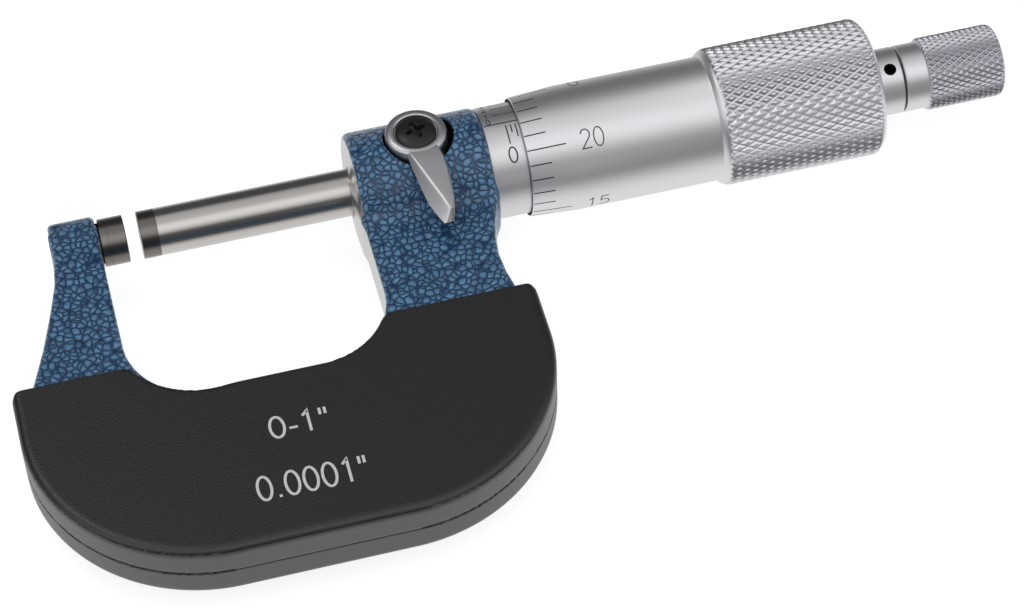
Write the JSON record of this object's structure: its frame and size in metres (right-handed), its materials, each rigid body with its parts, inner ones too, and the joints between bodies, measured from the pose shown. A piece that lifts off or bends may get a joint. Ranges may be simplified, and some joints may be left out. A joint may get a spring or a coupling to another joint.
{
  "type": "outside micrometer",
  "caption": "Outside micrometer with C-frame and insulating covers, carbide measuring faces, screw thimble, lever lock and ratchet stop.",
  "frame": {"origin": "on the spindle axis at the anvil's measuring face", "axes": "+X along the spindle from the anvil towards the ratchet, +Y in the frame's plane from the bow towards the spindle, +Z out of the front cover"},
  "size_m": [0.1388, 0.0648, 0.0194],
  "materials": {
    "enamel": "glossy hammertone",
    "cover_plastic": "fine textured",
    "ground_steel": "ground",
    "carbide": "lapped",
    "satin_chrome": "satin",
    "lever_chrome": "satin",
    "plain_steel": "turned",
    "black_screw": "black oxide",
    "brass_plug": "turned",
    "spring_wire": "drawn",
    "tape": "matt"
  },
  "bodies": {
    "frame_body": {"frame": "enamel", "anvil": "ground_steel", "anvil_tip": "carbide", "front_cover": "cover_plastic", "rear_cover": "cover_plastic", "cover_tape": "tape", "inner_sleeve": "plain_steel"},
    "sleeve": {"outer_sleeve": "satin_chrome"},
    "adjuster": {"adjusting_nut": "plain_steel"},
    "spindle_slider": {"spindle_tip": "carbide"},
    "thimble_set": {"spindle": "ground_steel", "thimble": "satin_chrome", "ratchet_collar": "satin_chrome", "ratchet_washer": "plain_steel", "ratchet_screw": "plain_steel"},
    "knob": {"ratchet_knob": "satin_chrome", "ratchet_spring": "spring_wire"},
    "clutch": {"ratchet_clutch": "plain_steel"},
    "lock_set": {"lock_lever": "lever_chrome", "lock_stud": "plain_steel", "lock_washer": "black_screw", "lock_screw": "black_screw"},
    "plug": {"lock_plug": "brass_plug"}
  },
  "joints": [
    {"name": "spindle_travel", "type": "slide", "parent": "frame_body", "child": "spindle_slider", "axis": [1, 0, 0], "range_m": [-0.00183, 0.02356]},
    {"name": "thimble_turn", "type": "hinge", "parent": "spindle_slider", "child": "thimble_set", "pos_m": [0.06, 0, 0], "axis": [1, 0, 0], "range_deg": [-1038, 13358]},
    {"name": "ratchet_turn", "type": "hinge", "parent": "thimble_set", "child": "knob", "pos_m": [0.112, 0, 0], "axis": [1, 0, 0], "continuous": true},
    {"name": "clutch_slide", "type": "slide", "parent": "knob", "child": "clutch", "axis": [1, 0, 0], "range_m": [0, 0.0003], "stiffness_N_per_m": 400, "springref_m": -0.001},
    {"name": "sleeve_turn", "type": "hinge", "parent": "frame_body", "child": "sleeve", "pos_m": [0.0634, 0, 0], "axis": [1, 0, 0], "range_deg": [-15, 15]},
    {"name": "adjuster_turn", "type": "hinge", "parent": "frame_body", "child": "adjuster", "pos_m": [0.082, 0, 0], "axis": [1, 0, 0], "range_deg": [-30, 30]},
    {"name": "lock_turn", "type": "hinge", "parent": "frame_body", "child": "lock_set", "pos_m": [0.0395, 0, 0.008], "axis": [0, 0, 1], "range_deg": [-30, 8]},
    {"name": "plug_slide", "type": "slide", "parent": "frame_body", "child": "plug", "axis": [0, 0, -1], "range_m": [-0.0000177, 0.0000666]}
  ],
  "couplings": [
    {"joint": "thimble_turn", "follows": "spindle_travel", "rad_per_m": 9894.8},
    {"joint": "lock_turn", "follows": "plug_slide", "rad_per_m": -7854}
  ]
}
